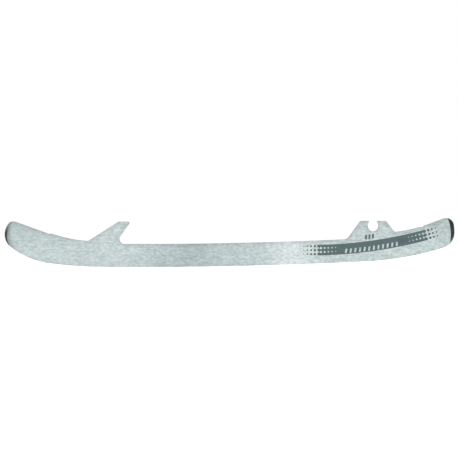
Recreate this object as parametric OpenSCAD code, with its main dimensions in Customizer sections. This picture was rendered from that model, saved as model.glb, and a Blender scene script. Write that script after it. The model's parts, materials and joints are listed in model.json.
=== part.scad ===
// Hockey skate runner: a blanked steel plate with a hollow ground running edge,
// a toe hook, a heel tab with an open bolt notch, dark coated ends and a
// printed band. X runs along the runner towards the heel, Y through the
// thickness with the printed face on -Y, Z up. The lowest point of the running
// edge is at Z 0 and the middle of the length at X 0. Sizes in mm and degrees.

/* [Plate] */
// length of the steel from toe to heel
runner_length = 272; // [250:1:300]
// thickness of the plate
plate_thickness = 3; // [2.6:0.1:4]
// height of the plate between the hook and the heel tab
body_height = 14; // [12:0.5:15]

/* [Running edge] */
// radius of the main rocker
rocker_radius = 2743; // [2400:10:3300]
// angle where the main rocker ends towards the toe
rocker_toe_angle = 0.47; // [0.3:0.01:0.6]
// radius of the lift behind the toe
toe_lift_radius = 254; // [230:1:280]
// angle where the toe lift ends
toe_lift_angle = 7.75; // [6.5:0.25:9]
// radius of the toe curve
toe_curve_radius = 47; // [42:1:52]
// angle where the toe curve ends
toe_curve_angle = 38; // [34:1:42]
// radius of the heel lift
heel_lift_radius = 190; // [170:1:210]
// angle where the heel lift ends
heel_lift_angle = 17; // [15:0.5:19]
// radius of hollow across the edge
hollow_radius = 12.7; // [9.5:0.1:19]
// steel ground off the blank along the running edge
grind_stock = 0.08; // [0.07:0.01:0.1]
// depth between the hollow of one arc and that of the next
hollow_blend = 0.02; // [0.015:0.005:0.025]
// length by which the hollow runs on past the end of an arc
grind_runout = 6; // [5:0.5:8]

/* [Ends] */
// radius of the toe nose
toe_nose_radius = 10.2; // [9:0.1:11.5]
// angle where the toe nose ends
toe_nose_angle = 129; // [120:1:138]
// radius of the upper toe corner
toe_corner_radius = 3.7; // [3.2:0.1:5]
// radius of the heel end
heel_end_radius = 10.4; // [9:0.1:12]
// radius of the heel's back
heel_back_radius = 25; // [20:1:30]
// angle where the heel's back stops
heel_back_angle = 100; // [97:0.5:104]
// radius of the upper heel corner
heel_corner_radius = 4.8; // [4:0.1:5.5]
// slope of the top edge at the toe
toe_top_slope = 19.8; // [17:0.2:22]
// slope of the top edge at the heel
heel_top_slope = 20.2; // [18:0.2:22]
// distance from the toe to the centre that its rounding turns about
toe_round_place = 15; // [14.5:0.1:15.5]
// height of that centre
toe_round_height = 19.5; // [19:0.1:20]
// width of the rounding at the toe's end
toe_round_width = 2.4; // [2:0.1:2.8]
// distance from the start of the rounding to the toe coat
toe_coat_inset = 1.45; // [1.2:0.05:1.6]
// distance from the heel to the centre that its rounding turns about
heel_round_place = 27.4; // [27:0.1:28]
// height of that centre
heel_round_height = 20.2; // [19.8:0.1:20.6]
// width of the rounding at the heel's end
heel_round_width = 2.35; // [2:0.05:2.7]
// distance from the start of the rounding to the heel coat
heel_coat_inset = 0.15; // [0.1:0.05:0.3]
// width of the blunt nose left at each end
blunt_width = 0.5; // [0.3:0.1:0.9]
// rise of the ground arc over its chord
round_bow = 0.2; // [0.1:0.05:0.3]
// thickness of the dark end coats
coat_thickness = 0.1; // [0.05:0.01:0.15]

/* [Top edge] */
// distance from the toe to its shoulder
toe_shoulder = 25.9; // [24:0.1:27.5]
// length of the land behind the toe shoulder
toe_land = 2.7; // [1.5:0.1:4]
// radius of the neck behind the toe
toe_neck_radius = 82; // [76:1:88]
// distance from the toe to the lowest place of its neck
toe_neck_place = 55.5; // [54:0.5:57]
// height of the lowest place of the toe neck
toe_neck_height = 15.7; // [15:0.1:16.5]
// distance from the heel to its shoulder
heel_shoulder = 18.6; // [17:0.1:20]
// length of the land in front of the heel shoulder
heel_land = 2.4; // [1.5:0.1:4]
// radius of the neck in front of the heel
heel_neck_radius = 95; // [88:1:102]
// distance from the heel to the lowest place of its neck
heel_neck_place = 47.3; // [46:0.5:49]
// height of the lowest place of the heel neck
heel_neck_height = 20.6; // [20:0.1:21.2]

/* [Toe hook] */
// distance from the toe to the middle of the hook throat
hook_place = 72.3; // [70:0.1:76]
// radius of the hook throat
throat_radius = 3; // [2.6:0.1:3.4]
// height of the hook over the running edge
hook_height = 27.6; // [26:0.1:29]
// length of the hook's top before rounding
hook_top_length = 7.4; // [6:0.1:9]
// angle of the hook's underside
hook_under_angle = 54; // [50:1:58]
// angle of the ramp in front of the hook
hook_ramp_angle = 32.5; // [30:0.5:36]
// radius of the hook's tip
hook_tip_radius = 1; // [0.6:0.1:1.3]
// radius where the ramp meets the hook's top
hook_front_radius = 2; // [1:0.1:3]
// radius at the foot of the hook ramp
hook_foot_radius = 2; // [1:0.1:3]

/* [Heel tab] */
// distance from the heel to the middle of the bolt notch
notch_place = 49.2; // [46:0.1:52]
// radius of the bolt notch
notch_radius = 3.3; // [2.9:0.1:3.6]
// width of the notch mouth
notch_mouth = 5.2; // [4.6:0.1:5.6]
// depth of the notch centre under the tab's top
notch_depth = 3; // [2.7:0.1:3.3]
// height of the tab over the running edge
tab_height = 28; // [27:0.1:29.5]
// length of the tab's top in front of the notch centre
tab_front = 7.6; // [6.5:0.1:9]
// length of the tab's top behind the notch centre
tab_rear = 7.7; // [6.5:0.1:9]
// angle of the tab's front ramp
tab_front_angle = 54; // [50:1:58]
// angle of the tab's rear ramp
tab_rear_angle = 52; // [48:1:56]
// radius of the tab's upper corners
tab_corner_radius = 1; // [0.6:0.1:1.6]
// radius at the foot of the front ramp
tab_front_foot = 4.5; // [2:0.5:6]
// radius at the foot of the rear ramp
tab_rear_foot = 1.5; // [1:0.1:2.5]

/* [Print] */
// thickness of the ink film
ink_thickness = 0.06; // [0.04:0.01:0.1]
// radius of the band's middle line
band_radius = 269; // [255:1:285]
// distance from the heel to the lowest place of the band's middle line
band_place = 87.1; // [86:0.1:88]
// height of the lowest place of the band's middle line
band_height = 10.3; // [10:0.1:10.6]
// width of the band
band_width = 6.4; // [5.6:0.1:6.8]
// distance along the band from its lowest place to its front end
band_front = 5.2; // [4.5:0.1:6.5]
// length of the band
band_length = 65; // [60:0.2:66]
// spacing of the dot columns
dot_pitch = 2.24; // [2.1:0.02:2.4]
// spacing of the dot rows
dot_rows = 2.4; // [2.3:0.05:2.55]
// distance from the band's ends to the middle of its last dark dots
band_run_out = 0.3; // [0.1:0.1:0.5]
// diameter of the largest dark dot
dark_dot = 1.6; // [1.3:0.1:1.8]
// step by which the dark dots shrink
dark_step = 0.24; // [0.2:0.01:0.3]
// columns of dark dots in front of the band
front_columns = 4; // [2:1:4]
// columns of dark dots behind the band
rear_columns = 3; // [2:1:4]
// diameter of the largest light dot
light_dot = 1.4; // [0.9:0.02:1.5]
// step by which the light dots shrink
light_step = 0.2; // [0.1:0.01:0.21]
// columns of light dots at each end of the band
light_columns = 5; // [3:1:5]
// width of a plain bar in the band
bar_width = 1.1; // [0.8:0.1:1.4]
// height of a plain bar in the band
bar_height = 2.5; // [1.8:0.1:2.8]
// lean of the plain bars
bar_lean = 14; // [8:1:20]
// distance of the plain bars below the band's middle line
bar_drop = 1.3; // [0.8:0.1:1.6]
// number of plain bars
bar_count = 12; // [6:1:13]
// spacing of the plain bars
bar_pitch = 2.8; // [2.4:0.1:3]
// distance along the band from its front end to the first bar
bar_first = 16.3; // [14:0.1:18]
// width of a size bar on the tab
mark_width = 1.2; // [0.8:0.1:1.5]
// height of a size bar on the tab
mark_height = 2.7; // [2:0.1:3]
// spacing of the size bars
mark_pitch = 2.1; // [1.8:0.1:2.4]
// step up from one size bar to the next
mark_rise = 0.3; // [0.1:0.1:0.5]
// lean of the size bars
mark_lean = 6; // [2:1:10]
// distance from the notch to the middle size bar, towards the toe
mark_place = 2.2; // [1:0.1:3]
// depth of the middle size bar under the notch
mark_depth = 6.5; // [6:0.1:7]

/* [Hidden] */
$fn = 256;
steel = [0.72, 0.76, 0.76];
dark = [0.14, 0.17, 0.17];
ink = [0.33, 0.40, 0.41];

toe_x = -runner_length / 2;
heel_x = runner_length / 2;
half = plate_thickness / 2;
// how far a cut reaches past the steel, and how deep its strip is
cut = 3;
strip = 40;
through = 2;
// difference between neighbouring cuts, so that none share a face
lap = 0.002;
// length by which a cut runs on past the end of its arc
run_on = 2;
// depth by which a fillet sinks into its corner
sink = 0.01;
// length by which the rounding of an end runs out past the steel, and its start before the rounding
round_spare = 0.25;
round_lead = 0.05;
// angles between which the rounding of each end turns
toe_round_span = [130, 240];
heel_round_span = [-30, 35];
// how far the blank reaches past the outline that trims it, and a height above all of it
blank = 5;
above = 60;
// lengths by which the parts of the blank overlap, and their heights before trimming
toe_overlap = 8;
middle_overlap = 14;
notch_overlap = 0.5;
neck_overlap = 1;
middle_rise = 9;
// heights at which the hook, its ramp and the tab root in the plate
hook_root = 10;
ramp_root = 12;
tab_root = 13;
// points along a rough arc, and steps that find the foot of a ramp
arc_steps = 8;
foot_steps = 8;

// outward directions along the edge, by the angle of the edge there
function toe_dir(f) = [-sin(f), -cos(f)];
function heel_dir(f) = [sin(f), -cos(f)];
function on(c, r, a) = c + r * [cos(a), sin(a)];

// centres of the tangent arcs, from the rocker to both ends
toe_reach = rocker_radius * sin(rocker_toe_angle)
    + toe_lift_radius * (sin(toe_lift_angle) - sin(rocker_toe_angle))
    + toe_curve_radius * (sin(toe_curve_angle) - sin(toe_lift_angle))
    + toe_nose_radius * (1 - sin(toe_curve_angle));
low_x = toe_x + toe_reach;
heel_reach = heel_x - low_x - heel_lift_radius * sin(heel_lift_angle)
    - heel_end_radius * (1 - sin(heel_lift_angle));
rocker_heel_angle = asin(heel_reach / (rocker_radius - heel_lift_radius));
rocker_c = [low_x, rocker_radius - grind_stock];
toe_lift_c = rocker_c + (rocker_radius - toe_lift_radius) * toe_dir(rocker_toe_angle);
toe_curve_c = toe_lift_c + (toe_lift_radius - toe_curve_radius) * toe_dir(toe_lift_angle);
toe_nose_c = toe_curve_c + (toe_curve_radius - toe_nose_radius) * toe_dir(toe_curve_angle);
toe_corner_c = toe_nose_c + (toe_nose_radius - toe_corner_radius) * toe_dir(toe_nose_angle);
heel_lift_c = rocker_c + (rocker_radius - heel_lift_radius) * heel_dir(rocker_heel_angle);
heel_end_c = heel_lift_c + (heel_lift_radius - heel_end_radius) * heel_dir(heel_lift_angle);
heel_back_c = heel_end_c + (heel_end_radius - heel_back_radius) * heel_dir(90);
heel_corner_c = heel_back_c + (heel_back_radius - heel_corner_radius) * heel_dir(heel_back_angle);

// each arc from the toe's top to the heel's top: centre, radius, first and last
// angle, laps over its wider neighbours, whether it runs on past either end
toe_top_angle = 180 + toe_top_slope;
heel_top_angle = 180 + heel_top_slope;
corner_a = [toe_corner_c, toe_corner_radius, -90 - toe_top_angle, -90 - toe_nose_angle, 4, 0, 0];
nose_a = [toe_nose_c, toe_nose_radius, -90 - toe_nose_angle, -90 - toe_curve_angle, 3, 1, 0];
curve_a = [toe_curve_c, toe_curve_radius, -90 - toe_curve_angle, -90 - toe_lift_angle, 2, 1, 0];
lift_a = [toe_lift_c, toe_lift_radius, -90 - toe_lift_angle, -90 - rocker_toe_angle, 1, 1, 0];
rocker_a = [rocker_c, rocker_radius, -90 - rocker_toe_angle, rocker_heel_angle - 90, 0, 1, 1];
heel_a = [heel_lift_c, heel_lift_radius, rocker_heel_angle - 90, heel_lift_angle - 90, 1, 0, 1];
end_a = [heel_end_c, heel_end_radius, heel_lift_angle - 90, 0, 2, 0, 0];
back_a = [heel_back_c, heel_back_radius, 0, heel_back_angle - 90, 1, 1, 1];
heel_corner_a = [heel_corner_c, heel_corner_radius, heel_back_angle - 90, heel_top_angle - 90, 2, 0, 0];
toe_rim = [corner_a, nose_a, curve_a, lift_a];
heel_rim = [heel_a, end_a, back_a, heel_corner_a];

// first and last angle of an arc that runs on by a length
function reach(s, over) = [s[2] - s[5] * over / s[1] * 180 / PI,
                           s[3] + s[6] * over / s[1] * 180 / PI];
function swing(c, r, a) = [for (i = [0:arc_steps]) on(c, r, a[0] + (a[1] - a[0]) * i / arc_steps)];
function back(p) = [for (i = [len(p) - 1:-1:0]) p[i]];

// top edge heights
mid_r = rocker_c[1] - body_height;
function mid_z(x) = rocker_c[1] - sqrt(mid_r * mid_r - (x - low_x) * (x - low_x));
toe_top = on(toe_corner_c, toe_corner_radius, 90 - toe_top_slope);
heel_top = on(heel_corner_c, heel_corner_radius, 90 + heel_top_slope);
function toe_line(x) = toe_top[1] - (x - toe_top[0]) * tan(toe_top_slope);
function heel_line(x) = heel_top[1] + (x - heel_top[0]) * tan(heel_top_slope);
toe_neck_c = [toe_x + toe_neck_place, toe_neck_height + toe_neck_radius];
heel_neck_c = [heel_x - heel_neck_place, heel_neck_height + heel_neck_radius];
function neck_z(c, r, x) = c[1] - sqrt(r * r - (x - c[0]) * (x - c[0]));
toe_step_x = toe_x + toe_shoulder;
toe_land_x = toe_step_x + toe_land;
toe_land_z = neck_z(toe_neck_c, toe_neck_radius, toe_land_x);
heel_step_x = heel_x - heel_shoulder;
heel_land_x = heel_step_x - heel_land;
heel_land_z = neck_z(heel_neck_c, heel_neck_radius, heel_land_x);

// hook and tab places
throat_x = toe_x + hook_place;
throat_c = [throat_x, rocker_c[1]
    - sqrt((mid_r - throat_radius) * (mid_r - throat_radius)
           - (throat_x - low_x) * (throat_x - low_x))];
under = throat_c + throat_radius * [-sin(hook_under_angle), cos(hook_under_angle)];
tip_x = under[0] + (hook_height - under[1]) / tan(hook_under_angle);
hook_front_x = tip_x - hook_top_length;
function ramp_z(x) = hook_height - (hook_front_x - x) * tan(hook_ramp_angle);
notch_c = [heel_x - notch_place, tab_height - notch_depth];
tab_front_x = notch_c[0] - tab_front;
tab_rear_x = notch_c[0] + tab_rear;

function unit(v) = v / norm(v);

// what lies outside one arc of the outline
module waste(s, grow) {
    r = s[1] + s[4] * lap + grow;
    a = reach(s, run_on);
    difference() {
        polygon(concat(swing(s[0], r + strip, a), back(swing(s[0], r - min(cut, r / 2), a))));
        translate(s[0]) circle(r);
    }
}

// fills a corner up to a circle; u and v point along its two sides
module foot(p, u, v, r) {
    w = acos(u * v);
    m = unit(u + v);
    q = p - sink * m;
    c = q + m * r / sin(w / 2);
    a = q + u * r / tan(w / 2);
    b = q + v * r / tan(w / 2);
    difference() {
        polygon([a, c, b, b - (m - v * (m * v)), q - m, a - (m - u * (m * u))]);
        translate(c) circle(r);
    }
}

// what a rounded corner loses; u and v point from the corner along its two sides
module corner_waste(p, u, v, r) {
    w = acos(u * v);
    m = unit(u + v);
    c = p + m * r / sin(w / 2);
    a = p + u * r / tan(w / 2);
    b = p + v * r / tan(w / 2);
    difference() {
        polygon([a, c, b, b - (m - v * (m * v)), p - m, a - (m - u * (m * u))]);
        translate(c) circle(r + lap);
    }
}

module toe_part() {
    root_x = throat_x - toe_overlap;
    difference() {
        polygon([[toe_x - blank, -blank], [toe_x - blank, toe_line(toe_x - blank)],
                 [toe_step_x, toe_line(toe_step_x)], [toe_step_x, toe_land_z],
                 [root_x, toe_land_z], [root_x, -blank]]);
        intersection() {
            translate(toe_neck_c) circle(toe_neck_radius);
            translate([toe_step_x + toe_land / 2, 0]) square([root_x - toe_step_x, above]);
        }
    }
}

module heel_part() {
    difference() {
        polygon([[heel_x + blank, -blank], [heel_x + blank, heel_line(heel_x + blank)],
                 [heel_step_x, heel_line(heel_step_x)], [heel_step_x, heel_land_z],
                 [notch_c[0], heel_land_z], [notch_c[0], -blank]]);
        intersection() {
            translate(heel_neck_c) circle(heel_neck_radius);
            translate([notch_c[0] - neck_overlap, 0])
                square([heel_step_x - heel_land / 2 - notch_c[0] + neck_overlap, above]);
        }
    }
}

module middle_part() {
    difference() {
        translate([throat_x - middle_overlap, -blank])
            square([notch_c[0] - throat_x + middle_overlap + notch_overlap,
                    blank + body_height + middle_rise]);
        translate(rocker_c) circle(mid_r);
    }
}

module hook() {
    root_x = under[0] - (under[1] - hook_root) / tan(hook_under_angle);
    foot_x = hook_front_x - (hook_height - ramp_root) / tan(hook_ramp_angle);
    difference() {
        polygon([[foot_x, ramp_root], [hook_front_x, hook_height], [tip_x, hook_height],
                 [root_x, hook_root]]);
        corner_waste([hook_front_x, hook_height], [-cos(hook_ramp_angle), -sin(hook_ramp_angle)],
                     [1, 0], hook_front_radius);
        corner_waste([tip_x, hook_height], [-1, 0],
                     [-cos(hook_under_angle), -sin(hook_under_angle)], hook_tip_radius);
    }
}

// throat between the hook's underside and the plate's top edge
module throat() {
    apex_x = throat_c[0] - throat_radius / tan(hook_under_angle / 2);
    foot([apex_x, throat_c[1] - throat_radius], [1, 0],
         [cos(hook_under_angle), sin(hook_under_angle)], throat_radius);
}

module tab() {
    front_x = tab_front_x - (tab_height - tab_root) / tan(tab_front_angle);
    rear_x = tab_rear_x + (tab_height - tab_root) / tan(tab_rear_angle);
    difference() {
        polygon([[front_x, tab_root], [tab_front_x, tab_height], [tab_rear_x, tab_height],
                 [rear_x, tab_root]]);
        corner_waste([tab_front_x, tab_height], [-cos(tab_front_angle), -sin(tab_front_angle)],
                     [1, 0], tab_corner_radius);
        corner_waste([tab_rear_x, tab_height], [-1, 0],
                     [cos(tab_rear_angle), -sin(tab_rear_angle)], tab_corner_radius);
    }
}

// where a ramp meets the edge at its foot, found in n steps
function hook_foot_x(x, n) = n == 0 ? x : hook_foot_x(hook_front_x
    - (hook_height - neck_z(toe_neck_c, toe_neck_radius, x)) / tan(hook_ramp_angle), n - 1);
function front_foot_x(x, n) = n == 0 ? x : front_foot_x(tab_front_x
    - (tab_height - mid_z(x)) / tan(tab_front_angle), n - 1);
function rear_foot_x(x, n) = n == 0 ? x : rear_foot_x(tab_rear_x
    + (tab_height - neck_z(heel_neck_c, heel_neck_radius, x)) / tan(tab_rear_angle), n - 1);

module hook_foot() {
    x = hook_foot_x(hook_front_x, foot_steps);
    s = asin((x - toe_neck_c[0]) / toe_neck_radius);
    foot([x, ramp_z(x)], [-cos(s), -sin(s)],
         [cos(hook_ramp_angle), sin(hook_ramp_angle)], hook_foot_radius);
}

module tab_front_fillet() {
    x = front_foot_x(tab_front_x, foot_steps);
    s = asin((x - low_x) / mid_r);
    foot([x, mid_z(x)], [-cos(s), -sin(s)],
         [cos(tab_front_angle), sin(tab_front_angle)], tab_front_foot);
}

module tab_rear_fillet() {
    x = rear_foot_x(tab_rear_x, foot_steps);
    s = asin((x - heel_neck_c[0]) / heel_neck_radius);
    foot([x, neck_z(heel_neck_c, heel_neck_radius, x)], [cos(s), sin(s)],
         [-cos(tab_rear_angle), sin(tab_rear_angle)], tab_rear_foot);
}

module notch() {
    translate(notch_c) circle(notch_radius);
    translate([notch_c[0] - notch_mouth / 2, notch_c[1]])
        square([notch_mouth, notch_depth + blank]);
}

module upright(t) {
    rotate([90, 0, 0]) translate([0, 0, -t / 2]) linear_extrude(t) children();
}

// each rounded end: centre, radius where the rounding starts, its length, the angles that it spans
toe_round = [[toe_x + toe_round_place, toe_round_height], toe_round_place - toe_round_width,
             toe_round_width + round_spare, toe_round_span];
heel_round = [[heel_x - heel_round_place, heel_round_height], heel_round_place - heel_round_width,
              heel_round_width + round_spare, heel_round_span];

// section of a rounded end, pointing along +X from the place 0
module end_plan(length, grow) {
    chord = norm([length, half - blunt_width / 2]);
    r = chord * chord / (8 * round_bow) + round_bow / 2;
    slope = atan((half - blunt_width / 2) / length);
    mid = [-length / 2, (half + blunt_width / 2) / 2];
    c = mid - (r - round_bow) * [sin(slope), cos(slope)];
    intersection() {
        translate(c) circle(r + grow);
        translate([c[0], -c[1]]) circle(r + grow);
    }
}

module turned(e) {
    translate([e[0][0], 0, e[0][1]]) rotate([90, 0, 0]) rotate([0, 0, e[3][0]])
        rotate_extrude(angle = e[3][1] - e[3][0]) children();
}

module end_waste(e) {
    turned(e) difference() {
        translate([e[1] - round_lead, -cut]) square([e[2] + blank, 2 * cut]);
        translate([e[1] + e[2], 0]) end_plan(e[2], 0);
    }
}

// hollow cutter along one arc of the running edge
module hollow(s) {
    edge = s[1] - grind_stock + s[4] * hollow_blend;
    rise = sqrt(hollow_radius * hollow_radius - half * half);
    a = reach(s, grind_runout);
    translate([s[0][0], 0, s[0][1]]) rotate([90, 0, 0]) rotate([0, 0, a[0]])
        rotate_extrude(angle = a[1] - a[0])
            intersection() {
                translate([edge + rise, 0]) circle(hollow_radius);
                translate([edge - through / 2, -half - through / 2])
                    square([through, plate_thickness + through]);
            }
}

module ground_plate() {
    difference() {
        union() {
            upright(plate_thickness) toe_part();
            upright(plate_thickness) middle_part();
            upright(plate_thickness) heel_part();
            upright(plate_thickness) hook();
            upright(plate_thickness) tab();
            upright(plate_thickness) hook_foot();
            upright(plate_thickness) throat();
            upright(plate_thickness) tab_front_fillet();
            upright(plate_thickness) tab_rear_fillet();
        }
        for (s = concat(toe_rim, [rocker_a], heel_rim)) upright(plate_thickness + through) waste(s, 0);
        upright(plate_thickness + through) notch();
        end_waste(toe_round);
        end_waste(heel_round);
    }
}

module steel_runner() {
    color(steel) difference() {
        ground_plate();
        hollow(rocker_a);
        hollow(lift_a);
        hollow(heel_a);
        hollow(curve_a);
    }
}

module end_coat(e, inset, rim) {
    color(dark) difference() {
        turned(e) intersection() {
            translate([e[1] + e[2], 0]) end_plan(e[2], coat_thickness);
            translate([e[1] + inset, -cut]) square([e[2], 2 * cut]);
        }
        for (s = rim) upright(2 * cut) waste(s, coat_thickness);
        ground_plate();
    }
}

module toe_end_coat() end_coat(toe_round, toe_coat_inset, toe_rim);

module heel_end_coat() end_coat(heel_round, heel_coat_inset, heel_rim);

band_c = [heel_x - band_place, band_height + band_radius];
band_back = band_front + band_length;
// a place on the band: distance along it and distance below its middle line
function band_turn(d) = d / band_radius * 180 / PI;
function band_at(d, off) = on(band_c, band_radius + off, band_turn(d) - 90);

function band_side(off) = [for (i = [0:arc_steps]) band_at(band_front + band_length * i / arc_steps, off)];

module inked() {
    translate([0, -half, 0]) rotate([90, 0, 0]) linear_extrude(ink_thickness) children();
}

// columns of dots; each column is one step smaller than the one before
module dots(start, pitch, columns, rows, size, step) {
    for (i = [0:columns - 1], k = rows)
        translate(band_at(start + pitch * i, k)) circle(d = size - step * i);
}

module strip_print() {
    difference() {
        intersection() {
            translate(band_c) circle(band_radius + band_width / 2);
            polygon(concat(band_side(2 * cut), back(band_side(-2 * cut))));
        }
        translate(band_c) circle(band_radius - band_width / 2);
    }
}

light_rows = [-dot_rows / 2, dot_rows / 2];
dark_rows = [-dot_rows, 0, dot_rows];

module print_band() {
    color(ink) inked() difference() {
        union() {
            strip_print();
            dots(band_front - band_run_out, 0, 1, dark_rows, dark_dot, 0);
            dots(band_back + band_run_out, 0, 1, dark_rows, dark_dot, 0);
        }
        dots(band_front + dot_pitch / 2, dot_pitch, light_columns, light_rows, light_dot, light_step);
        dots(band_back - dot_pitch / 2, -dot_pitch, light_columns, light_rows, light_dot, light_step);
        for (i = [0:bar_count - 1])
            translate(band_at(band_front + bar_first + i * bar_pitch, bar_drop))
                rotate(band_turn(band_front + bar_first + i * bar_pitch))
                    multmatrix([[1, tan(bar_lean), 0, 0], [0, 1, 0, 0], [0, 0, 1, 0], [0, 0, 0, 1]])
                        square([bar_width, bar_height], center = true);
    }
}

module front_dots() {
    color(ink) inked()
        dots(band_front - band_run_out - dot_pitch, -dot_pitch, front_columns, dark_rows,
             dark_dot - dark_step, dark_step);
}

module rear_dots() {
    color(ink) inked()
        dots(band_back + band_run_out + dot_pitch, dot_pitch, rear_columns, dark_rows,
             dark_dot - dark_step, dark_step);
}

module size_mark() {
    color(ink) inked() for (i = [-1:1])
        translate(notch_c + [i * mark_pitch - mark_place, i * mark_rise - mark_depth])
            rotate(-mark_lean) square([mark_width, mark_height], center = true);
}

steel_runner();
toe_end_coat();
heel_end_coat();
print_band();
front_dots();
rear_dots();
size_mark();
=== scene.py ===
import bpy
import json
from math import radians
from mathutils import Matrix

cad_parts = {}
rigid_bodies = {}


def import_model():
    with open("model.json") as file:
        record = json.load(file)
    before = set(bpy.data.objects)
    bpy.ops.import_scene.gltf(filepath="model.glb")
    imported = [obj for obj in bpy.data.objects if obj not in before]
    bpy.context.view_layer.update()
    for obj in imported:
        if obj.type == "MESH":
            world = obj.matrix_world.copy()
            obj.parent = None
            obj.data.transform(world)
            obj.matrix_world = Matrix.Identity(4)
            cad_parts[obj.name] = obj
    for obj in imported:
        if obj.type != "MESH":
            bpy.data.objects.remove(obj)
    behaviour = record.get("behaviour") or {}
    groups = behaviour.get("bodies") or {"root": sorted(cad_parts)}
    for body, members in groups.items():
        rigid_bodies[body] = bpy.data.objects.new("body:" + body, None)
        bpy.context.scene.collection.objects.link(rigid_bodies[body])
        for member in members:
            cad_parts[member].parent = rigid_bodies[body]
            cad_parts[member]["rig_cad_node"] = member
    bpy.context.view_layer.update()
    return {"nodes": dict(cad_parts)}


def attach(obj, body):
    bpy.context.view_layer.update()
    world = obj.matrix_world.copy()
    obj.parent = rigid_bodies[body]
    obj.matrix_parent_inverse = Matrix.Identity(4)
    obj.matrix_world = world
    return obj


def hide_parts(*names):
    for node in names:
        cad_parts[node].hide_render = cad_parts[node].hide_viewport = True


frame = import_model()
mm = 0.001
noiseSpan = (0.3, 0.7)  # a noise texture has most of its values in here
nodeGap = 200  # spacing in the node editor
mixA, mixB, mixOut = 4, 5, 1  # a Mix node's sockets for vectors
white = (1, 1, 1, 1)


def linearColour(hexText, alpha=1.0):  # sRGB hex to linear
    parts = [int(hexText[i:i + 2], 16) / 255 for i in (1, 3, 5)]
    return [p / 12.92 if p <= 0.04045 else ((p + 0.055) / 1.055) ** 2.4 for p in parts] + [alpha]


def addNode(tree, kind, place, settings=None, inputs=None, links=None):
    node = tree.nodes.new(kind)
    node.location = (place[0] * nodeGap, place[1] * nodeGap)
    for name, value in (settings or {}).items():
        setattr(node, name, value)
    for name, value in (inputs or {}).items():
        node.inputs[name].default_value = value
    for name, source in (links or {}).items():
        tree.links.new(source, node.inputs[name])
    return node


def newMaterial(name):
    made = bpy.data.materials.new(name)
    made.use_nodes = True
    made.node_tree.nodes.clear()
    return made, made.node_tree


def fillRamp(ramp, stops):
    band = ramp.color_ramp
    while len(band.elements) < len(stops):
        band.elements.new(0.5)  # moved to its own place below
    for spot, (place, colour) in zip(band.elements, stops):
        spot.position = place
        spot.color = linearColour(colour)


# Martensitic stainless, surface ground and satin finished along the length:
# pale grey with a green cast, soft sheen, short streaks and a fine mottle.
satin = {
    # tones from toe to heel: the steel's own grey, with paler and darker stretches that are painted
    # reflection and shade
    "toeEnd": -137 * mm, "heelEnd": 137 * mm,
    "tones": [(0.00, "#b0bdbd"), (0.10, "#b0bbba"), (0.22, "#bbc5c5"), (0.31, "#b7c2c3"),
              (0.42, "#9ba7a7"), (0.50, "#b6c2c2"), (0.57, "#aebaba"), (0.61, "#c7cfcf"),
              (0.655, "#c9d1d1"), (0.70, "#b4c0be"), (0.84, "#b8c3c3"), (1.00, "#adbab8")],
    # painted shading near both ends: lighter low down, darker up high
    "paintedEndFrom": 88 * mm, "paintedEndFull": 108 * mm, "paintedEndFoot": 8 * mm, "paintedEndTop": 26 * mm,
    "paintedEndLight": 1.09, "paintedEndShade": 0.92,
    # a faint cast, green here and violet there
    "tintSize": 9 * mm, "tintFlat": 1.6, "tintDetail": 3.0, "tintSpan": (0.35, 0.65),
    "tintGreen": (0.975, 1.008, 0.990), "tintViolet": (1.022, 0.992, 1.018),
    # painted shade where the toe's round-over turns from the light: dark at the edge, dying out a few
    # millimetres in
    "shadeX": -121 * mm, "shadeZ": 19.5 * mm, "shadeFrom": 14.05 * mm, "shadeTo": 10.05 * mm,
    "shadeDepth": 0.66, "shadeFade": 2.1, "shadeSide": 9 * mm, "shadeSideEnd": 3 * mm,
    "shadeEnd": 25.5 * mm, "shadeEndFade": 4 * mm, "shadeLeft": 0.2,
    # painted shade darkens the face along the upper edges, where the rounded edge turns from the light;
    # upper is what lies over a bowed line, rimFoot + rimBow * x * x, with x in metres
    "rimReach": 2.9 * mm, "rimSamples": 16, "rimDepth": 0.19, "rimSoft": 0.6,
    "rimFoot": 7 * mm, "rimBow": 0.9, "rimFade": 5 * mm,
    "rimLow": 0.13, "rimLowFull": 114 * mm, "rimLowEnd": 128 * mm,  # fainter below, near both ends
    "grainSpan": (0.25, 0.75), "grainDetail": 3.0, "grainRough": 0.6,
    "mottleLong": 2.0 * mm, "mottleTall": 1.1 * mm, "mottleDetail": 0.6, "mottleRough": 0.5,
    "mottleDepth": 0.165,
    "calmFrom": -52 * mm, "calmFull": -72 * mm, "calmKeep": 0.88,  # a little less of it at the toe
    "streakLength": 9.0 * mm, "streakWidth": 1.1 * mm, "streakDepth": 0.12,
    "scratchLength": 7.0 * mm, "scratchWidth": 0.14 * mm,  # belt grit is 0.03 mm, coarser to show
    "scratchDetail": 4.0, "scratchDepth": 0.10,
    "bump": 0.16, "bumpDeep": 0.03 * mm, "roughLow": 0.36, "roughHigh": 0.50,
}


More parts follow.
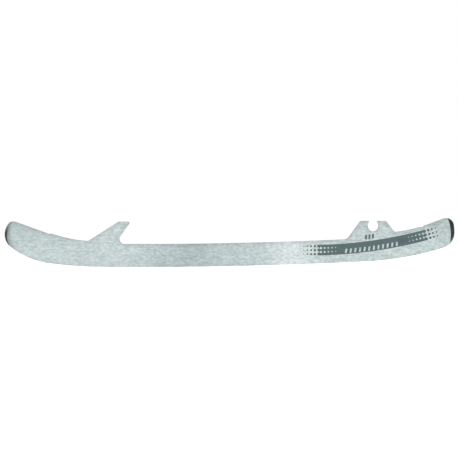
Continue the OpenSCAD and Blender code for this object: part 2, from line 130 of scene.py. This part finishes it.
def satinSteel():
    made, tree = newMaterial("satin_stainless")
    look = satin
    coords = addNode(tree, "ShaderNodeTexCoord", (-8, 0))
    here = coords.outputs["Object"]
    axes = addNode(tree, "ShaderNodeSeparateXYZ", (-7, 2), links={"Vector": here})
    along = addNode(tree, "ShaderNodeMapRange", (-6, 3), inputs={
        "From Min": look["toeEnd"], "From Max": look["heelEnd"]}, links={"Value": axes.outputs["X"]})
    # painted reflection: the ramp along the length makes some stretches paler, as if they caught more
    # light, and others darker
    tone = addNode(tree, "ShaderNodeValToRGB", (-5, 3), links={"Fac": along.outputs["Result"]})
    tone.color_ramp.interpolation = "B_SPLINE"
    fillRamp(tone, look["tones"])
    outward = addNode(tree, "ShaderNodeMath", (-6, 2), {"operation": "ABSOLUTE"}, links={
        0: axes.outputs["X"]})
    # painted shading: near both ends the face is made lighter low down and darker up high
    nearEnd = addNode(tree, "ShaderNodeMapRange", (-5, 2), {"interpolation_type": "SMOOTHSTEP"}, {
        "From Min": look["paintedEndFrom"], "From Max": look["paintedEndFull"]}, {"Value": outward.outputs["Value"]})
    height = addNode(tree, "ShaderNodeMapRange", (-6, 1), inputs={
        "From Min": look["paintedEndFoot"], "From Max": look["paintedEndTop"], "To Min": look["paintedEndLight"],
        "To Max": look["paintedEndShade"]}, links={"Value": axes.outputs["Z"]})
    endLightShade = addNode(tree, "ShaderNodeMix", (-4, 1), inputs={"A": 1.0}, links={
        "Factor": nearEnd.outputs["Result"], "B": height.outputs["Result"]})
    tintMap = addNode(tree, "ShaderNodeMapping", (-7, 5), inputs={
        "Scale": (1 / look["tintSize"], 1 / look["tintSize"], look["tintFlat"] / look["tintSize"])},
        links={"Vector": here})
    tintNoise = addNode(tree, "ShaderNodeTexNoise", (-6, 5), inputs={
        "Scale": 1.0, "Detail": look["tintDetail"], "Roughness": look["grainRough"]},
        links={"Vector": tintMap.outputs["Vector"]})
    tintFac = addNode(tree, "ShaderNodeMapRange", (-5, 5), inputs={
        "From Min": look["tintSpan"][0], "From Max": look["tintSpan"][1]},
        links={"Value": tintNoise.outputs["Fac"]})
    tint = addNode(tree, "ShaderNodeMix", (-4, 5), {"data_type": "VECTOR"}, {
        mixA: look["tintGreen"], mixB: look["tintViolet"]}, {0: tintFac.outputs["Result"]})
    tinted = addNode(tree, "ShaderNodeVectorMath", (-3, 4), {"operation": "MULTIPLY"}, links={
        0: tone.outputs["Color"], 1: tint.outputs[mixOut]})
    mottleMap = addNode(tree, "ShaderNodeMapping", (-7, 0), inputs={
        "Scale": (1 / look["mottleLong"], 1 / look["mottleLong"], 1 / look["mottleTall"])},
        links={"Vector": here})
    mottle = addNode(tree, "ShaderNodeTexNoise", (-6, 0), inputs={
        "Scale": 1.0, "Detail": look["mottleDetail"], "Roughness": look["mottleRough"]},
        links={"Vector": mottleMap.outputs["Vector"]})
    mottleGain = addNode(tree, "ShaderNodeMapRange", (-5, 0), inputs={
        "From Min": look["grainSpan"][0], "From Max": look["grainSpan"][1],
        "To Min": 1 - look["mottleDepth"], "To Max": 1 + look["mottleDepth"]},
        links={"Value": mottle.outputs["Fac"]})
    streakMap = addNode(tree, "ShaderNodeMapping", (-7, -2), inputs={
        "Scale": (1 / look["streakLength"], 1 / look["streakLength"], 1 / look["streakWidth"])},
        links={"Vector": here})
    streak = addNode(tree, "ShaderNodeTexNoise", (-6, -2), inputs={
        "Scale": 1.0, "Detail": look["grainDetail"], "Roughness": look["grainRough"]},
        links={"Vector": streakMap.outputs["Vector"]})
    streakGain = addNode(tree, "ShaderNodeMapRange", (-5, -2), inputs={
        "From Min": look["grainSpan"][0], "From Max": look["grainSpan"][1],
        "To Min": 1 - look["streakDepth"], "To Max": 1 + look["streakDepth"]},
        links={"Value": streak.outputs["Fac"]})
    scratchMap = addNode(tree, "ShaderNodeMapping", (-7, -4), inputs={
        "Scale": (1 / look["scratchLength"], 1 / look["scratchLength"], 1 / look["scratchWidth"])},
        links={"Vector": here})
    scratch = addNode(tree, "ShaderNodeTexNoise", (-6, -4), inputs={
        "Scale": 1.0, "Detail": look["scratchDetail"], "Roughness": look["grainRough"]},
        links={"Vector": scratchMap.outputs["Vector"]})
    scratchGain = addNode(tree, "ShaderNodeMapRange", (-5, -4), inputs={
        "From Min": noiseSpan[0], "From Max": noiseSpan[1], "To Min": 1 - look["scratchDepth"],
        "To Max": 1 + look["scratchDepth"]}, links={"Value": scratch.outputs["Fac"]})
    streakScratch = addNode(tree, "ShaderNodeMath", (-4, -1), {"operation": "MULTIPLY"}, links={
        0: streakGain.outputs["Result"], 1: scratchGain.outputs["Result"]})
    marks = addNode(tree, "ShaderNodeMath", (-4, 0), {"operation": "MULTIPLY"}, links={
        0: mottleGain.outputs["Result"], 1: streakScratch.outputs["Value"]})
    calm = addNode(tree, "ShaderNodeMapRange", (-5, 1), {"interpolation_type": "SMOOTHSTEP"}, {
        "From Min": look["calmFull"], "From Max": look["calmFrom"], "To Min": look["calmKeep"],
        "To Max": 1.0}, {"Value": axes.outputs["X"]})
    grain = addNode(tree, "ShaderNodeMath", (-4, -3), {"operation": "POWER"}, links={
        0: marks.outputs["Value"], 1: calm.outputs["Result"]})
    grainEndShaded = addNode(tree, "ShaderNodeMath", (-3, 0), {"operation": "MULTIPLY"}, links={
        0: grain.outputs["Value"], 1: endLightShade.outputs[0]})
    # painted shade on the toe's round-over, strongest at the outline
    nose = addNode(tree, "ShaderNodeVectorMath", (-7, -6), {"operation": "DISTANCE"}, {
        1: (look["shadeX"], 0, look["shadeZ"])}, {0: here})
    noseIn = addNode(tree, "ShaderNodeMapRange", (-6, -6), inputs={
        "From Min": look["shadeTo"], "From Max": look["shadeFrom"]},
        links={"Value": nose.outputs["Value"]})
    noseFade = addNode(tree, "ShaderNodeMath", (-5, -6), {"operation": "POWER"}, {1: look["shadeFade"]}, {
        0: noseIn.outputs["Result"]})
    noseSide = addNode(tree, "ShaderNodeMapRange", (-6, -7), {"interpolation_type": "SMOOTHSTEP"}, {
        "From Min": look["shadeX"] - look["shadeSide"], "From Max": look["shadeX"] - look["shadeSideEnd"],
        "To Min": look["shadeDepth"], "To Max": 0.0}, {"Value": axes.outputs["X"]})
    noseTop = addNode(tree, "ShaderNodeMapRange", (-6, -8), {"interpolation_type": "SMOOTHSTEP"}, {
        "From Min": look["shadeEnd"] - look["shadeEndFade"], "From Max": look["shadeEnd"], "To Min": 1.0,
        "To Max": look["shadeLeft"]}, {"Value": axes.outputs["Z"]})
    noseHere = addNode(tree, "ShaderNodeMath", (-5, -7), {"operation": "MULTIPLY"}, links={
        0: noseSide.outputs["Result"], 1: noseTop.outputs["Result"]})
    noseShade = addNode(tree, "ShaderNodeMath", (-4, -6), {"operation": "MULTIPLY"}, links={
        0: noseFade.outputs["Value"], 1: noseHere.outputs["Value"]})
    noseKeep = addNode(tree, "ShaderNodeMath", (-3, -6), {"operation": "SUBTRACT"}, {0: 1.0}, {
        1: noseShade.outputs["Value"]})
    nosed = addNode(tree, "ShaderNodeMath", (-2, 0), {"operation": "MULTIPLY"}, links={
        0: grainEndShaded.outputs["Value"], 1: noseKeep.outputs["Value"]})
    # painted shade: an inside occlusion darkens the face near its edges, fully on the upper part, fainter
    # below near both ends
    rimNear = addNode(tree, "ShaderNodeAmbientOcclusion", (-7, -10), {
        "inside": True, "only_local": True, "samples": look["rimSamples"]}, {
        "Distance": look["rimReach"]})
    rimSquare = addNode(tree, "ShaderNodeMath", (-7, -9), {"operation": "MULTIPLY"}, links={
        0: axes.outputs["X"], 1: axes.outputs["X"]})
    rimMid = addNode(tree, "ShaderNodeMath", (-6, -9), {"operation": "MULTIPLY_ADD"}, {
        1: look["rimBow"], 2: look["rimFoot"]}, {0: rimSquare.outputs["Value"]})
    rimOver = addNode(tree, "ShaderNodeMath", (-5, -9), {"operation": "SUBTRACT"}, links={
        0: axes.outputs["Z"], 1: rimMid.outputs["Value"]})
    rimUpper = addNode(tree, "ShaderNodeMapRange", (-4, -9), {"interpolation_type": "SMOOTHSTEP"}, {
        "From Min": -look["rimFade"] / 2, "From Max": look["rimFade"] / 2, "To Min": 0.0,
        "To Max": look["rimDepth"]}, {"Value": rimOver.outputs["Value"]})
    rimAway = addNode(tree, "ShaderNodeMath", (-6, -10), {"operation": "SUBTRACT"}, {0: 1.0}, {
        1: rimNear.outputs["AO"]})
    rimSpread = addNode(tree, "ShaderNodeMath", (-5, -10), {"operation": "POWER"}, {1: look["rimSoft"]}, {
        0: rimAway.outputs["Value"]})
    rimLower = addNode(tree, "ShaderNodeMapRange", (-6, -11), {"interpolation_type": "SMOOTHSTEP"}, {
        "From Min": look["rimLowFull"], "From Max": look["rimLowEnd"], "To Min": look["rimLow"],
        "To Max": 0.0}, {"Value": outward.outputs["Value"]})
    rimFaint = addNode(tree, "ShaderNodeMath", (-4, -10), {"operation": "MULTIPLY"}, links={
        0: nearEnd.outputs["Result"], 1: rimLower.outputs["Result"]})
    rimHere = addNode(tree, "ShaderNodeMath", (-3, -10), {"operation": "MAXIMUM"}, links={
        0: rimUpper.outputs["Result"], 1: rimFaint.outputs["Value"]})
    rimShade = addNode(tree, "ShaderNodeMath", (-3, -9), {"operation": "MULTIPLY"}, links={
        0: rimHere.outputs["Value"], 1: rimSpread.outputs["Value"]})
    rimKeep = addNode(tree, "ShaderNodeMath", (-2, -9), {"operation": "SUBTRACT"}, {0: 1.0}, {
        1: rimShade.outputs["Value"]})
    edgeShaded = addNode(tree, "ShaderNodeMath", (-1, 0), {"operation": "MULTIPLY"}, links={
        0: nosed.outputs["Value"], 1: rimKeep.outputs["Value"]})
    colour = addNode(tree, "ShaderNodeVectorMath", (-2, 2), {"operation": "SCALE"}, links={
        0: tinted.outputs["Vector"], "Scale": edgeShaded.outputs["Value"]})
    rough = addNode(tree, "ShaderNodeMapRange", (-4, -2), inputs={
        "From Min": noiseSpan[0], "From Max": noiseSpan[1], "To Min": look["roughLow"],
        "To Max": look["roughHigh"]}, links={"Value": streak.outputs["Fac"]})
    bump = addNode(tree, "ShaderNodeBump", (-2, -3), inputs={
        "Strength": look["bump"], "Distance": look["bumpDeep"]}, links={"Height": scratch.outputs["Fac"]})
    shader = addNode(tree, "ShaderNodeBsdfPrincipled", (0, 0), inputs={"Metallic": 1.0}, links={
        "Base Color": colour.outputs["Vector"], "Roughness": rough.outputs["Result"],
        "Normal": bump.outputs["Normal"]})
    addNode(tree, "ShaderNodeOutputMaterial", (2, 0), links={"Surface": shader.outputs["BSDF"]})
    return made


# The same steel where it was blanked from the strip and deburred: duller, with draw lines across the
# thickness, and darker as painted shade along the edges.
blanked = {
    "dark": "#74807f", "light": "#9aa6a5", "darkAt": 0.1, "lightAt": 0.45,
    "lineWidth": 0.25 * mm, "lineLength": 2.5 * mm, "patch": 6 * mm, "detail": 2.0,
    "bump": 0.18, "bumpDeep": 0.05 * mm, "roughLow": 0.42, "roughHigh": 0.6,
}


def blankedShadedSteel():
    made, tree = newMaterial("blanked_shaded_stainless_edge")
    look = blanked
    coords = addNode(tree, "ShaderNodeTexCoord", (-6, 0))
    lineMap = addNode(tree, "ShaderNodeMapping", (-5, 1), inputs={
        "Scale": (1 / look["lineWidth"], 1 / look["lineLength"], 1 / look["lineWidth"])},
        links={"Vector": coords.outputs["Object"]})
    lines = addNode(tree, "ShaderNodeTexNoise", (-4, 1), inputs={
        "Scale": 1.0, "Detail": look["detail"]}, links={"Vector": lineMap.outputs["Vector"]})
    patchMap = addNode(tree, "ShaderNodeMapping", (-5, -1), inputs={
        "Scale": (1 / look["patch"],) * 3}, links={"Vector": coords.outputs["Object"]})
    patches = addNode(tree, "ShaderNodeTexNoise", (-4, -1), inputs={
        "Scale": 1.0, "Detail": look["detail"]}, links={"Vector": patchMap.outputs["Vector"]})
    mixed = addNode(tree, "ShaderNodeMath", (-3, 0), {"operation": "MULTIPLY"}, links={
        0: lines.outputs["Fac"], 1: patches.outputs["Fac"]})
    # painted shade: the ramp keeps the blanked edge darker than the face, on top of its duller finish
    tone = addNode(tree, "ShaderNodeValToRGB", (-2, 1), links={"Fac": mixed.outputs["Value"]})
    fillRamp(tone, [(look["darkAt"], look["dark"]), (look["lightAt"], look["light"])])
    rough = addNode(tree, "ShaderNodeMapRange", (-2, -1), inputs={
        "From Min": noiseSpan[0], "From Max": noiseSpan[1], "To Min": look["roughLow"],
        "To Max": look["roughHigh"]}, links={"Value": patches.outputs["Fac"]})
    bump = addNode(tree, "ShaderNodeBump", (-1, -2), inputs={
        "Strength": look["bump"], "Distance": look["bumpDeep"]}, links={"Height": lines.outputs["Fac"]})
    shader = addNode(tree, "ShaderNodeBsdfPrincipled", (0, 0), inputs={"Metallic": 1.0}, links={
        "Base Color": tone.outputs["Color"], "Roughness": rough.outputs["Result"],
        "Normal": bump.outputs["Normal"]})
    addNode(tree, "ShaderNodeOutputMaterial", (2, 0), links={"Surface": shader.outputs["BSDF"]})
    return made


# The hollow, cut by a dressed grinding wheel: bright, with lines that run along the edge.
hollow = {
    "dark": "#aab7b7", "light": "#dfe7e6",
    "lineWidth": 0.12 * mm, "lineLength": 14 * mm, "detail": 3.0,  # wheel grit is 0.1 mm
    "bump": 0.10, "bumpDeep": 0.03 * mm, "roughLow": 0.16, "roughHigh": 0.30,
}


def groundHollow():
    made, tree = newMaterial("wheel_ground_stainless")
    look = hollow
    coords = addNode(tree, "ShaderNodeTexCoord", (-6, 0))
    lineMap = addNode(tree, "ShaderNodeMapping", (-5, 0), inputs={
        "Scale": (1 / look["lineLength"], 1 / look["lineWidth"], 1 / look["lineLength"])},
        links={"Vector": coords.outputs["Object"]})
    lines = addNode(tree, "ShaderNodeTexNoise", (-4, 0), inputs={
        "Scale": 1.0, "Detail": look["detail"]}, links={"Vector": lineMap.outputs["Vector"]})
    tone = addNode(tree, "ShaderNodeValToRGB", (-2, 1), links={"Fac": lines.outputs["Fac"]})
    fillRamp(tone, [(noiseSpan[0], look["dark"]), (noiseSpan[1], look["light"])])
    rough = addNode(tree, "ShaderNodeMapRange", (-2, -1), inputs={
        "From Min": noiseSpan[0], "From Max": noiseSpan[1], "To Min": look["roughLow"],
        "To Max": look["roughHigh"]}, links={"Value": lines.outputs["Fac"]})
    bump = addNode(tree, "ShaderNodeBump", (-1, -2), inputs={
        "Strength": look["bump"], "Distance": look["bumpDeep"]}, links={"Height": lines.outputs["Fac"]})
    shader = addNode(tree, "ShaderNodeBsdfPrincipled", (0, 0), inputs={"Metallic": 1.0}, links={
        "Base Color": tone.outputs["Color"], "Roughness": rough.outputs["Result"],
        "Normal": bump.outputs["Normal"]})
    addNode(tree, "ShaderNodeOutputMaterial", (2, 0), links={"Surface": shader.outputs["BSDF"]})
    return made


# Dipped black coat, cured in an oven: near black with a green cast, satin, slightly orange-peeled,
# and paler low down and, at the toe, high up as well.
toeDip = {
    "name": "dipped_black_toe", "foot": 13.5 * mm, "top": 27.0 * mm,
    "tones": [(0.00, "#8b9898"), (0.09, "#4d5a5c"), (0.20, "#1f2b2c"), (0.34, "#152021"),
              (0.58, "#1d2929"), (0.73, "#5c6a6a"), (0.88, "#93a0a0")],
    "patch": 2.5 * mm, "patchTall": 0.5, "patchDetail": 3.0, "spread": 0.30,
    "peel": 0.5 * mm, "peelDetail": 1.0, "bump": 0.15, "bumpDeep": 0.05 * mm,
    "roughLow": 0.30, "roughHigh": 0.46, "ior": 1.38,
}
heelDip = dict(toeDip, name="dipped_black_heel", foot=14.5 * mm, top=29.0 * mm, tones=[
    (0.00, "#98a5a4"), (0.10, "#5c6b6b"), (0.18, "#33454a"), (0.30, "#1d2b2c"),
    (0.52, "#1d2b2b"), (1.00, "#223330")])


def dippedCoat(look):
    made, tree = newMaterial(look["name"])
    coords = addNode(tree, "ShaderNodeTexCoord", (-6, 0))
    axes = addNode(tree, "ShaderNodeSeparateXYZ", (-5, 2), links={"Vector": coords.outputs["Object"]})
    height = addNode(tree, "ShaderNodeMapRange", (-4, 2), inputs={
        "From Min": look["foot"], "From Max": look["top"]}, links={"Value": axes.outputs["Z"]})
    tone = addNode(tree, "ShaderNodeValToRGB", (-3, 2), links={"Fac": height.outputs["Result"]})
    fillRamp(tone, look["tones"])
    patchMap = addNode(tree, "ShaderNodeMapping", (-5, 1), inputs={
        "Scale": (1 / look["patch"], 1 / look["patch"], look["patchTall"] / look["patch"])},
        links={"Vector": coords.outputs["Object"]})
    patches = addNode(tree, "ShaderNodeTexNoise", (-4, 1), inputs={
        "Scale": 1.0, "Detail": look["patchDetail"]}, links={"Vector": patchMap.outputs["Vector"]})
    spread = addNode(tree, "ShaderNodeMapRange", (-3, 1), inputs={
        "From Min": noiseSpan[0], "From Max": noiseSpan[1], "To Min": 1 - look["spread"],
        "To Max": 1 + look["spread"]}, links={"Value": patches.outputs["Fac"]})
    colour = addNode(tree, "ShaderNodeVectorMath", (-1, 1), {"operation": "SCALE"}, links={
        0: tone.outputs["Color"], "Scale": spread.outputs["Result"]})
    peelMap = addNode(tree, "ShaderNodeMapping", (-5, -1), inputs={
        "Scale": (1 / look["peel"],) * 3}, links={"Vector": coords.outputs["Object"]})
    peel = addNode(tree, "ShaderNodeTexNoise", (-4, -1), inputs={
        "Scale": 1.0, "Detail": look["peelDetail"]}, links={"Vector": peelMap.outputs["Vector"]})
    rough = addNode(tree, "ShaderNodeMapRange", (-2, -1), inputs={
        "From Min": noiseSpan[0], "From Max": noiseSpan[1], "To Min": look["roughLow"],
        "To Max": look["roughHigh"]}, links={"Value": patches.outputs["Fac"]})
    bump = addNode(tree, "ShaderNodeBump", (-1, -2), inputs={
        "Strength": look["bump"], "Distance": look["bumpDeep"]}, links={"Height": peel.outputs["Fac"]})
    shader = addNode(tree, "ShaderNodeBsdfPrincipled", (0, 0), inputs={
        "Metallic": 0.0, "IOR": look["ior"]}, links={
        "Base Color": colour.outputs["Vector"], "Roughness": rough.outputs["Result"],
        "Normal": bump.outputs["Normal"]})
    addNode(tree, "ShaderNodeOutputMaterial", (2, 0), links={"Surface": shader.outputs["BSDF"]})
    return made


# Screen printed epoxy ink on steel: flat grey green, matte, a little thin where the mesh left marks.
# The dots are small screen openings that took more ink.
bandPrint = {
    "name": "screen_print_band", "dark": "#384b4a", "light": "#4c605f", "darkAt": 0.62, "lightAt": 1.0,
    "patch": 4 * mm, "patchLong": 0.6, "patchDetail": 3.0,
    "mesh": 0.55 * mm, "meshDetail": 1.0,  # the mesh is 0.1 mm, drawn coarser to show
    "coolFrom": 62 * mm, "coolTo": 112 * mm, "warm": (0.98, 1.01, 0.99), "cool": (0.97, 0.97, 1.05),
    "bump": 0.10, "bumpDeep": 0.02 * mm, "roughLow": 0.48, "roughHigh": 0.62, "ior": 1.5,
}
dotPrint = dict(bandPrint, name="screen_print_dots", dark="#1f2b2b", light="#344444")


def printInk(look):
    made, tree = newMaterial(look["name"])
    coords = addNode(tree, "ShaderNodeTexCoord", (-6, 0))
    patchMap = addNode(tree, "ShaderNodeMapping", (-5, 1), inputs={
        "Scale": (look["patchLong"] / look["patch"], 1 / look["patch"], 1 / look["patch"])},
        links={"Vector": coords.outputs["Object"]})
    patches = addNode(tree, "ShaderNodeTexNoise", (-4, 1), inputs={
        "Scale": 1.0, "Detail": look["patchDetail"]}, links={"Vector": patchMap.outputs["Vector"]})
    meshMap = addNode(tree, "ShaderNodeMapping", (-5, -1), inputs={
        "Scale": (1 / look["mesh"],) * 3}, links={"Vector": coords.outputs["Object"]})
    marks = addNode(tree, "ShaderNodeTexNoise", (-4, -1), inputs={
        "Scale": 1.0, "Detail": look["meshDetail"]}, links={"Vector": meshMap.outputs["Vector"]})
    mixed = addNode(tree, "ShaderNodeMath", (-3, 0), {"operation": "ADD"}, links={
        0: patches.outputs["Fac"], 1: marks.outputs["Fac"]})
    tone = addNode(tree, "ShaderNodeValToRGB", (-2, 1), links={"Fac": mixed.outputs["Value"]})
    fillRamp(tone, [(look["darkAt"], look["dark"]), (look["lightAt"], look["light"])])
    axes = addNode(tree, "ShaderNodeSeparateXYZ", (-5, 3), links={"Vector": coords.outputs["Object"]})
    along = addNode(tree, "ShaderNodeMapRange", (-4, 3), inputs={
        "From Min": look["coolFrom"], "From Max": look["coolTo"]}, links={"Value": axes.outputs["X"]})
    cast = addNode(tree, "ShaderNodeMix", (-3, 3), {"data_type": "VECTOR"}, {
        mixA: look["warm"], mixB: look["cool"]}, {0: along.outputs["Result"]})
    colour = addNode(tree, "ShaderNodeVectorMath", (-1, 2), {"operation": "MULTIPLY"}, links={
        0: tone.outputs["Color"], 1: cast.outputs[mixOut]})
    rough = addNode(tree, "ShaderNodeMapRange", (-2, -1), inputs={
        "From Min": noiseSpan[0], "From Max": noiseSpan[1], "To Min": look["roughLow"],
        "To Max": look["roughHigh"]}, links={"Value": patches.outputs["Fac"]})
    bump = addNode(tree, "ShaderNodeBump", (-1, -2), inputs={
        "Strength": look["bump"], "Distance": look["bumpDeep"]}, links={"Height": marks.outputs["Fac"]})
    shader = addNode(tree, "ShaderNodeBsdfPrincipled", (0, 0), inputs={
        "Metallic": 0.0, "IOR": look["ior"]}, links={
        "Base Color": colour.outputs["Vector"], "Roughness": rough.outputs["Result"],
        "Normal": bump.outputs["Normal"]})
    addNode(tree, "ShaderNodeOutputMaterial", (2, 0), links={"Surface": shader.outputs["BSDF"]})
    return made


steelFace = satinSteel()
steelRimShaded = blankedShadedSteel()
steelHollow = groundHollow()
toeCoat = dippedCoat(toeDip)
heelCoat = dippedCoat(heelDip)
bandInk = printInk(bandPrint)
dotInk = printInk(dotPrint)
print("finishes ready")


nodeCopy = {"weld": 0.001 * mm, "flatAngle": 0.05}  # joins loose triangles, then melts the flat ones


def copyOfNode(nodeName, pieceName):
    bpy.ops.object.select_all(action="DESELECT")
    node = frame["nodes"][nodeName]
    node.select_set(True)
    bpy.context.view_layer.objects.active = node
    bpy.ops.object.duplicate()
    piece = bpy.context.view_layer.objects.active
    piece.name = pieceName
    piece.data.name = pieceName
    del piece["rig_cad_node"]
    bpy.ops.object.mode_set(mode="EDIT")
    bpy.ops.mesh.select_mode(type="VERT")
    bpy.ops.mesh.select_all(action="SELECT")
    bpy.ops.mesh.customdata_custom_splitnormals_clear()
    bpy.ops.mesh.remove_doubles(threshold=nodeCopy["weld"])
    bpy.ops.mesh.dissolve_limited(angle_limit=radians(nodeCopy["flatAngle"]))
    bpy.ops.object.mode_set(mode="OBJECT")
    return piece


# The plate: the sharp corners of the blanked outline are broken and take the satin finish. The break
# stops just short of both round ends, and the hollow's two edges stay sharp.
runner = {
    "halfWidth": 1.49 * mm,  # a little under half the thickness, to tell the broad sides
    "cornerBreak": 0.40 * mm, "breakSteps": 3, "breakProfile": 0.5,
    "runOut": 1.0 * mm, "longEdge": 2 * mm, "runOutCuts": 30,  # long edges at the ends are cut up first
    "weld": 0.005 * mm, "smoothAngle": 32, "flatWeight": 100,
    # how far a face's normal turns, to tell face, rim and hollow apart
    "faceTurn": 0.8, "rimTurn": 0.3, "hollowTurn": 0.2, "hollowDown": -0.15,
}


def flatFaces(mesh):  # faces whose corners all lie on the two broad sides
    return [all(abs(mesh.vertices[i].co.y) > runner["halfWidth"] for i in face.vertices)
            for face in mesh.polygons]


def outlineCorners(mesh):  # edges between a broad side and the blanked rim
    flatWide = flatFaces(mesh)
    sides = {}
    for face in mesh.polygons:
        for key in face.edge_keys:
            sides.setdefault(key, []).append(face.index)
    corners = []
    for edge in mesh.edges:
        pair = sides.get(tuple(sorted(edge.vertices)), [])
        if len(pair) == 2 and flatWide[pair[0]] and flatWide[pair[1]]:
            turns = sorted(abs(mesh.polygons[i].normal.y) for i in pair)
            if turns[0] < runner["rimTurn"] and turns[1] > runner["faceTurn"]:
                corners.append(edge)
    return corners


def makeRunner():
    plate = copyOfNode("steel_runner", "runner_plate")
    mesh = plate.data
    mesh.materials.clear()
    for finish in (steelFace, steelRimShaded, steelHollow):
        mesh.materials.append(finish)
    onFace, onRim, onHollow = 0, 1, 2
    for face, flat in zip(mesh.polygons, flatFaces(mesh)):
        turn = abs(face.normal.y)
        face.material_index = onFace
        if flat and turn <= runner["faceTurn"]:
            face.material_index = onRim
        elif turn < runner["hollowTurn"] and face.normal.z < runner["hollowDown"]:
            face.material_index = onHollow
    bpy.ops.object.mode_set(mode="EDIT")
    bpy.ops.mesh.select_mode(type="EDGE")
    bpy.ops.mesh.select_all(action="DESELECT")
    bpy.ops.object.mode_set(mode="OBJECT")
    corners = outlineCorners(mesh)
    places = [mesh.vertices[i].co.x for edge in corners for i in edge.vertices]
    toeX, heelX = min(places), max(places)
    for edge in corners:
        one, two = (mesh.vertices[i].co for i in edge.vertices)
        nearEnd = min(one.x - toeX, two.x - toeX, heelX - one.x, heelX - two.x) < runner["runOut"]
        edge.select = nearEnd and (one - two).length > runner["longEdge"]
    bpy.ops.object.mode_set(mode="EDIT")
    bpy.ops.mesh.subdivide(number_cuts=runner["runOutCuts"])
    bpy.ops.mesh.select_all(action="DESELECT")
    bpy.ops.object.mode_set(mode="OBJECT")
    for edge in outlineCorners(mesh):
        midX = sum(mesh.vertices[i].co.x for i in edge.vertices) / 2
        edge.select = min(midX - toeX, heelX - midX) > runner["runOut"]
    print("corners to break", sum(e.select for e in mesh.edges))
    bpy.ops.object.mode_set(mode="EDIT")
    bpy.ops.mesh.bevel(offset=runner["cornerBreak"], segments=runner["breakSteps"],
                       profile=runner["breakProfile"], affect="EDGES", clamp_overlap=False,
                       material=onFace)
    bpy.ops.mesh.select_all(action="SELECT")
    bpy.ops.mesh.remove_doubles(threshold=runner["weld"])
    bpy.ops.mesh.select_all(action="DESELECT")
    bpy.ops.object.mode_set(mode="OBJECT")
    bpy.ops.object.shade_smooth_by_angle(angle=radians(runner["smoothAngle"]))
    bpy.ops.object.modifier_add(type="WEIGHTED_NORMAL")  # keeps the two broad faces flat
    plate.modifiers[-1].keep_sharp = True
    plate.modifiers[-1].weight = runner["flatWeight"]
    bpy.ops.object.modifier_apply(modifier=plate.modifiers[-1].name)
    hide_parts("steel_runner")
    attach(plate, "root")
    print("plate ready", len(plate.data.polygons), "faces")


makeRunner()

# The dark ends: a thin skin over each rounded end.
ends = {"smoothAngle": 30}


def makeEnd(nodeName, pieceName, finish):
    skin = copyOfNode(nodeName, pieceName)
    skin.data.materials.clear()
    skin.data.materials.append(finish)
    bpy.ops.object.shade_smooth_by_angle(angle=radians(ends["smoothAngle"]))
    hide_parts(nodeName)
    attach(skin, "root")


makeEnd("toe_end_coat", "toe_coat", toeCoat)
makeEnd("heel_end_coat", "heel_coat", heelCoat)
print("ends coated")

for nodeName, finish in (("print_band", bandInk), ("front_dots", dotInk), ("rear_dots", dotInk),
                         ("size_mark", bandInk)):
    for place in frame["nodes"][nodeName].material_slots:
        place.material = finish
print("print inked")

# Studio: white floor and white surround, soft light from the front, dim sides so round ends shade off.
studio = {"floorSize": 4.0, "floorColour": "#f4f4f2", "floorRough": 0.9, "floorGlow": 0.75,
          "frontLight": 1.0, "sideLight": 0.30, "dimFrom": 0.45, "dimFull": 0.95}


def makeStudio():
    bpy.ops.object.select_all(action="DESELECT")
    bpy.ops.mesh.primitive_plane_add(size=studio["floorSize"], location=(0, 0, 0))
    floor = bpy.context.view_layer.objects.active
    floor.name = "studio_floor"
    made, tree = newMaterial("white_paper_floor")
    shader = addNode(tree, "ShaderNodeBsdfPrincipled", (0, 0), inputs={
        "Base Color": linearColour(studio["floorColour"]), "Roughness": studio["floorRough"],
        "Emission Color": white, "Emission Strength": studio["floorGlow"]})
    addNode(tree, "ShaderNodeOutputMaterial", (2, 0), links={"Surface": shader.outputs["BSDF"]})
    floor.data.materials.append(made)
    world = bpy.data.worlds.new("studio")
    bpy.context.scene.world = world
    world.use_nodes = True
    tree = world.node_tree
    tree.nodes.clear()
    coords = addNode(tree, "ShaderNodeTexCoord", (-6, 0))
    axes = addNode(tree, "ShaderNodeSeparateXYZ", (-5, 0), links={"Vector": coords.outputs["Generated"]})
    side = addNode(tree, "ShaderNodeMath", (-4, 1), {"operation": "ABSOLUTE"}, links={
        0: axes.outputs["X"]})
    dim = addNode(tree, "ShaderNodeMapRange", (-3, 1), {"interpolation_type": "SMOOTHSTEP"}, {
        "From Min": studio["dimFrom"], "From Max": studio["dimFull"], "To Min": studio["frontLight"],
        "To Max": studio["sideLight"]}, {"Value": side.outputs["Value"]})
    seen = addNode(tree, "ShaderNodeLightPath", (-3, -2))
    strength = addNode(tree, "ShaderNodeMath", (-2, 0), {"operation": "MAXIMUM"}, links={
        0: dim.outputs["Result"], 1: seen.outputs["Is Camera Ray"]})
    glow = addNode(tree, "ShaderNodeBackground", (0, 0), inputs={"Color": white},
                   links={"Strength": strength.outputs["Value"]})
    addNode(tree, "ShaderNodeOutputWorld", (2, 0), links={"Surface": glow.outputs["Background"]})


makeStudio()

# Straight from the side with a long lens, as a catalogue shot.
camera = {"lens": 200.0, "sensor": 36.0, "farEnd": 50.0,
          "frameWidth": 277.0 * mm, "midX": -0.36 * mm, "faceY": -1.5 * mm, "midZ": 23.1 * mm}


def makeCamera():
    away = camera["frameWidth"] * camera["lens"] / camera["sensor"]
    bpy.ops.object.camera_add(location=(camera["midX"], camera["faceY"] - away, camera["midZ"]),
                              rotation=(radians(90), 0, 0))
    eye = bpy.context.view_layer.objects.active
    eye.name = "side_camera"
    eye.data.lens = camera["lens"]
    eye.data.sensor_width = camera["sensor"]
    eye.data.clip_end = camera["farEnd"]
    bpy.context.scene.camera = eye
    bpy.context.scene.view_settings.view_transform = "Standard"


makeCamera()
print("studio and camera ready")
